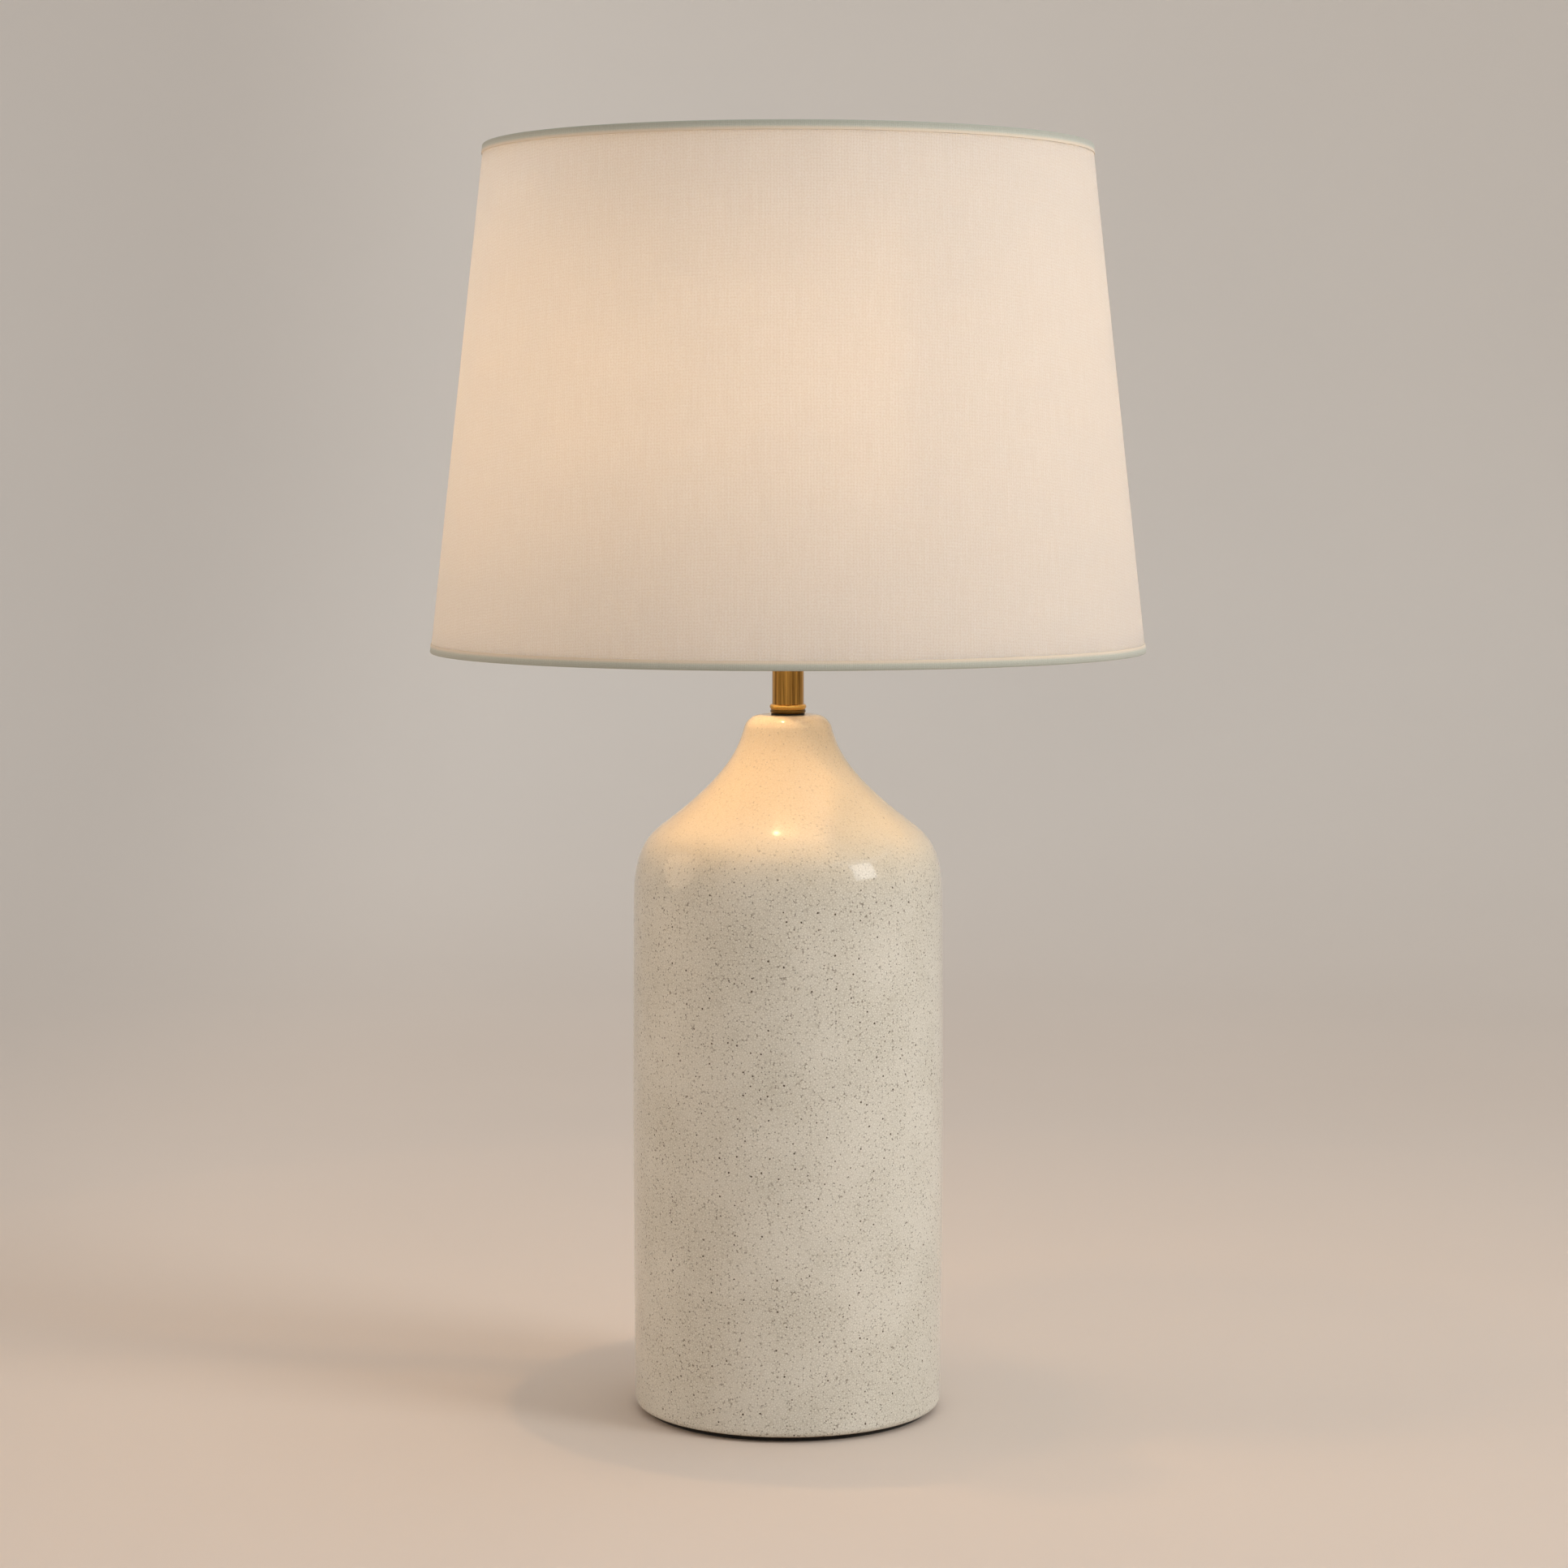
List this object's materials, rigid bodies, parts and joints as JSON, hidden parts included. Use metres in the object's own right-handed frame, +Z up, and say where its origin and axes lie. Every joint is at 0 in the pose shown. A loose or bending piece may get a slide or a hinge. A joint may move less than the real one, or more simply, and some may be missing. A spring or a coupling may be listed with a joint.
{
  "type": "table lamp",
  "caption": "Table lamp with a glazed bottle-shaped ceramic body, brass neck, harp-held tapered drum shade, turn-key socket and screw-in bulb.",
  "frame": {"origin": "on the table top, under the centre of the lamp's round foot", "axes": "+Z up along the lamp's axis, -Y towards the front, +X to the viewer's right; the cord inlet faces +Y"},
  "size_m": [0.356, 0.356, 0.64],
  "materials": {
    "crackle_glaze": "glossy off-white glaze over stoneware, fine crackle and small iron spots",
    "felt": "black pressed felt",
    "black_plastic": "moulded black",
    "zinc_steel": "zinc plated",
    "rubber": "soft black",
    "antique_brass": "satin antique brass",
    "polished_brass": "polished, lacquered",
    "socket_brass": "bright brass plate",
    "fibre_paper": "brown fibre paper",
    "phenolic": "moulded brown phenolic",
    "aluminium_shell": "bright pressed aluminium",
    "black_insulation": "satin",
    "white_insulation": "satin",
    "tan_plastic": "moulded",
    "frosted_glass": "inside-frosted, lit warm white",
    "black_glass": "fused black glass",
    "solder": "tinned",
    "clear_glass": "clear",
    "filament": "phosphor coated filament rods",
    "white_wire": "white powder coat",
    "styrene": "translucent white styrene sheet",
    "linen": "plain-weave off-white linen",
    "linen_trim": "folded linen tape"
  },
  "bodies": {
    "base": {"ceramic_body": "crackle_glaze", "base_pad": "felt", "cord_bushing": "black_plastic", "base_washer": "zinc_steel", "lock_washer": "zinc_steel", "base_nut": "zinc_steel", "lamp_pipe": "zinc_steel", "neck_gasket": "rubber", "check_ring": "polished_brass", "neck_tube": "antique_brass", "harp_saddle": "antique_brass", "socket_cap": "socket_brass", "cap_set_screw": "zinc_steel", "socket_shell": "socket_brass", "socket_liner": "fibre_paper", "socket_insulator": "phenolic", "screw_shell": "aluminium_shell", "centre_contact": "socket_brass", "terminal_screws": "socket_brass", "lead_live": "black_insulation", "lead_neutral": "white_insulation", "wire_connectors": "tan_plastic"},
    "switch": {"switch_stem": "socket_brass", "switch_key": "black_plastic"},
    "bulb_tip": {"bulb_insulator": "black_glass", "bulb_contact": "solder"},
    "bulb": {"bulb_envelope": "frosted_glass", "bulb_screw_cap": "aluminium_shell", "bulb_stem": "clear_glass", "bulb_filaments": "filament"},
    "harp": {"harp_wire": "antique_brass", "harp_top": "polished_brass"},
    "left_sleeve": {"harp_sleeve_left": "polished_brass"},
    "right_sleeve": {"harp_sleeve_right": "polished_brass"},
    "shade": {"shade_frame": "white_wire", "shade_bottom_ring": "white_wire", "shade_liner": "styrene", "shade_cover": "linen", "shade_top_trim": "linen_trim", "shade_bottom_trim": "linen_trim"},
    "finial_seat": {"finial_ferrule": "polished_brass"},
    "finial_knob": {"finial_ball": "polished_brass"}
  },
  "joints": [
    {"name": "switch_turn", "type": "hinge", "parent": "base", "child": "switch", "pos_m": [0, 0, 0.4258], "axis": [0, -1, 0], "continuous": true},
    {"name": "bulb_rise", "type": "slide", "parent": "base", "child": "bulb_tip", "axis": [0, 0, 1], "range_m": [0, 0.0182]},
    {"name": "bulb_turn", "type": "hinge", "parent": "bulb_tip", "child": "bulb", "pos_m": [0, 0, 0.44], "axis": [0, 0, 1], "range_deg": [0, 1800]},
    {"name": "harp_lift", "type": "slide", "parent": "base", "child": "harp", "axis": [0, 0, 1], "range_m": [0, 0.012]},
    {"name": "left_sleeve_slide", "type": "slide", "parent": "harp", "child": "left_sleeve", "axis": [0, 0, 1], "range_m": [0, 0.012]},
    {"name": "right_sleeve_slide", "type": "slide", "parent": "harp", "child": "right_sleeve", "axis": [0, 0, 1], "range_m": [0, 0.012]},
    {"name": "shade_swivel", "type": "hinge", "parent": "harp", "child": "shade", "pos_m": [0, 0, 0.616], "axis": [0, 0, 1], "continuous": true},
    {"name": "finial_rise", "type": "slide", "parent": "harp", "child": "finial_seat", "axis": [0, 0, 1], "range_m": [0, 0.0085]},
    {"name": "finial_turn", "type": "hinge", "parent": "finial_seat", "child": "finial_knob", "pos_m": [0, 0, 0.63], "axis": [0, 0, 1], "range_deg": [0, 3240]}
  ],
  "couplings": [
    {"joint": "bulb_rise", "follows": "bulb_turn", "m_per_rad": 0.0005775},
    {"joint": "finial_rise", "follows": "finial_turn", "m_per_rad": 0.00014972}
  ]
}
